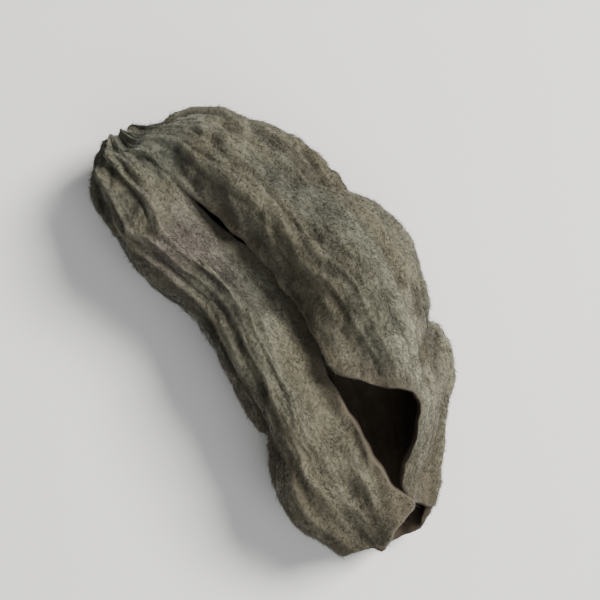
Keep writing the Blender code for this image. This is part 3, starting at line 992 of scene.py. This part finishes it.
def hair_roots(sheet, count, rng):
    """(root, facing, down the sheet, relief, streaks, washes) of each hair, spread on the back."""
    facing = normals(sheet.points, sheet.corners)
    first, second, third, fourth = np.moveaxis(sheet.points[sheet.corners], 1, 0)
    area = np.linalg.norm(np.cross(third - first, fourth - second), axis=-1)
    thick = rise(SPARSE_BELOW, layered(first + third, NAP_PATCHES))
    area = area * (SPARSEST + (1.0 - SPARSEST) * thick)
    area = area * (1.0 - sheet.scar[sheet.corners[:, 2]])
    chosen = np.sort(rng.choice(len(area), count, p=area / area.sum()))
    over, down = rng.random((2, count, 1))
    weights = ((1.0 - over) * (1.0 - down), over * (1.0 - down), over * down, (1.0 - over) * down)
    picked = sheet.corners[chosen]

    def at_hair(values):
        return sum(weight * values[corner] for weight, corner in zip(weights, picked.T))

    downhill = (third + fourth - first - second)[chosen]
    places = at_hair(sheet.points), unit(at_hair(facing)), unit(downhill)
    relief = at_hair(sheet.relief[:, None])[:, 0]
    return *places, relief, at_hair(sheet.streaks), at_hair(sheet.washes)


def hair_points(layer, roots, facing, downhill, rng):
    """Four points for each hair: a small triangle sunk at its root, and its leaning tip."""
    swirl = np.stack([noise(roots * SWIRL_CLOSENESS, seed) for seed in SWIRL_SEEDS], -1)
    by_slope, by_swirl, by_chance = LEANS
    lean = by_slope * downhill + by_swirl * swirl + by_chance * rng.normal(size=roots.shape)
    lean = unit(lean)
    lean = unit(lean - facing * np.sum(lean * facing, axis=-1, keepdims=True))
    _, count, _, lengths, width, leans = layer
    angle = np.radians(rng.uniform(*leans, (count, 1)))
    way = facing * np.cos(angle) + lean * np.sin(angle)
    length = rng.uniform(*lengths, (count, 1))
    side = unit(np.cross(way, facing + ASKEW))
    other = np.cross(way, side)
    radius = width / 2.0 * rng.uniform(*HAIR_WIDTHS, (count, 1))
    sunk = roots - way * HAIR_SUNK
    ring = [sunk + radius * (side * math.cos(a) + other * math.sin(a)) for a in HAIR_CORNERS]
    hairs = np.stack([*ring, roots + way * length], axis=1)
    hairs[..., 2] = np.maximum(hairs[..., 2], HAIR_FLOOR_GAP)
    return hairs


class WOODEAR_OT_skin(bpy.types.Operator):
    """Builds the ear's skin: its back, its inner face and its rounded margin"""

    bl_idname = "wood_ear.build_skin"
    bl_label = "Build ear skin"
    bl_options = {"REGISTER", "UNDO"}

    def execute(self, context):
        sheet = Sheet(context.scene.ear_shape)
        corners, finish = sheet.faces()
        mottling = mottling_group()
        colours = context.scene.ear_colours
        materials = (back_material(mottling, colours), inner_material(mottling, colours))
        values = [(name, getattr(sheet, name)) for name in SKIN_VALUES]
        skin = new_piece("ear_skin", sheet.points, corners, finish, materials, values)
        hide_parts(NODE)
        return {"FINISHED"}


class WOODEAR_OT_nap(bpy.types.Operator):
    """Builds the velvet nap of the back as a mesh of short hairs"""

    bl_idname = "wood_ear.build_nap"
    bl_label = "Build nap"
    bl_options = {"REGISTER", "UNDO"}

    def execute(self, context):
        sheet = Sheet(context.scene.ear_shape)
        material = nap_material(bpy.data.node_groups["Ear mottling"], context.scene.ear_colours)
        for layer in NAP_LAYERS:
            name, count, seed = layer[:3]
            rng = np.random.default_rng(seed)
            roots, facing, downhill, *colouring = hair_roots(sheet, count, rng)
            hairs = hair_points(layer, roots, facing, downhill, rng)
            corners = (4 * np.arange(count)[:, None, None] + HAIR_SIDES).reshape(-1, 3)
            tint = rng.uniform(*HAIR_TINTS, count)[:, None] * HAIR_SHADES
            repeated = [np.repeat(column, 4, axis=0) for column in colouring]
            values = [*zip(HAIR_VALUES, repeated), ("tint", tint.ravel())]
            finish = np.zeros(len(corners))
            new_piece(name, hairs.reshape(-1, 3), corners, finish, (material,), values)
        return {"FINISHED"}


def aimed(data, name, place, target):
    """A camera or light at a place, turned to look at the target with the image's top upwards."""
    made = bpy.data.objects.new(name, data)
    made.location = place
    made.rotation_euler = (target - place).to_track_quat("-Z", "Y").to_euler()
    bpy.context.scene.collection.objects.link(made)
    return made


def direction(azimuth, elevation):
    """The way from the ear to a camera or light: azimuth 0 is at -Y and 90 degrees at +X."""
    flat = math.cos(elevation)
    return Vector((math.sin(azimuth) * flat, -math.cos(azimuth) * flat, math.sin(elevation)))


def soft_light(name, power, light, target):
    """A square soft light at a fixed distance, aimed at the ear."""
    azimuth, elevation, size, colour = light
    data = bpy.data.lights.new(name, "AREA")
    data.energy = power
    data.size = size
    data.color = colour
    place = target + LIGHT_DISTANCE * direction(math.radians(azimuth), math.radians(elevation))
    return aimed(data, name, place, target)


def floor_material(colour):
    """A plain pale floor with a faint cloudiness, so that it isn't one flat colour."""
    material, tree, shader = new_material("Pale floor", FLOOR_FINISH)
    cloud = grey(tree, clouds(tree, object_place(tree), FLOOR_CLOUDS))
    clouded = blend(tree, 1.0, opaque(colour), cloud, "MULTIPLY")
    tree.links.new(clouded, shader.inputs["Base Color"])
    return material


class WOODEAR_OT_stage(bpy.types.Operator):
    """Builds the floor, the soft lights and the camera"""

    bl_idname = "wood_ear.build_stage"
    bl_label = "Build stage"
    bl_options = {"REGISTER", "UNDO"}

    def execute(self, context):
        stage = context.scene.ear_stage
        middle = Vector((LOW + HIGH) / 2.0)
        mesh = bpy.data.meshes.new("floor")
        half = FLOOR_SIZE / 2.0
        edges = ((-half, -half), (half, -half), (half, half), (-half, half))
        mesh.from_pydata([(x, y, 0.0) for x, y in edges], [], [(0, 1, 2, 3)])
        mesh.materials.append(floor_material(stage.floor))
        floor = bpy.data.objects.new("floor", mesh)
        context.scene.collection.objects.link(floor)

        soft_light("Main light", stage.key_light, KEY_LIGHT, middle)
        soft_light("Fill light", stage.fill_light, FILL_LIGHT, middle)
        world = bpy.data.worlds.new("Pale room")
        world.use_nodes = True
        background = world.node_tree.nodes["Background"]
        background.inputs["Color"].default_value = opaque(ROOM_COLOUR)
        background.inputs["Strength"].default_value = stage.room_light
        context.scene.world = world

        data = bpy.data.cameras.new("Camera")
        data.lens = stage.lens
        distance = stage.width / 2.0 / (data.sensor_width / 2.0 / stage.lens)
        data.clip_start = distance / CLIP_RANGE
        data.clip_end = distance * CLIP_RANGE
        place = middle + distance * direction(stage.azimuth, stage.elevation)
        context.scene.camera = aimed(data, "Camera", place, middle)
        return {"FINISHED"}


class WOODEAR_PT_panel(bpy.types.Panel):
    """Lists the sizes, the colours and the steps that build the ear and its stage"""

    bl_idname = "WOODEAR_PT_panel"
    bl_label = "Dried Wood Ear"
    bl_space_type = "VIEW_3D"
    bl_region_type = "UI"
    bl_category = "Wood Ear"

    def draw(self, context):
        for name, group, operator in SECTIONS:
            box = self.layout.box()
            for label in group.__annotations__:
                box.prop(getattr(context.scene, name), label)
            box.operator(operator.bl_idname)


SECTIONS = (
    ("ear_shape", EarShape, WOODEAR_OT_skin),
    ("ear_colours", EarColours, WOODEAR_OT_nap),
    ("ear_stage", EarStage, WOODEAR_OT_stage),
)


def register():
    for name, group, operator in SECTIONS:
        bpy.utils.register_class(group)
        bpy.utils.register_class(operator)
        setattr(bpy.types.Scene, name, bpy.props.PointerProperty(type=group))
    bpy.utils.register_class(WOODEAR_PT_panel)


def unregister():
    bpy.utils.unregister_class(WOODEAR_PT_panel)
    for name, group, operator in reversed(SECTIONS):
        delattr(bpy.types.Scene, name)
        bpy.utils.unregister_class(operator)
        bpy.utils.unregister_class(group)


def main():
    register()
    bpy.ops.wood_ear.build_skin()
    bpy.ops.wood_ear.build_nap()
    bpy.ops.wood_ear.build_stage()


if __name__ == "__main__":
    main()
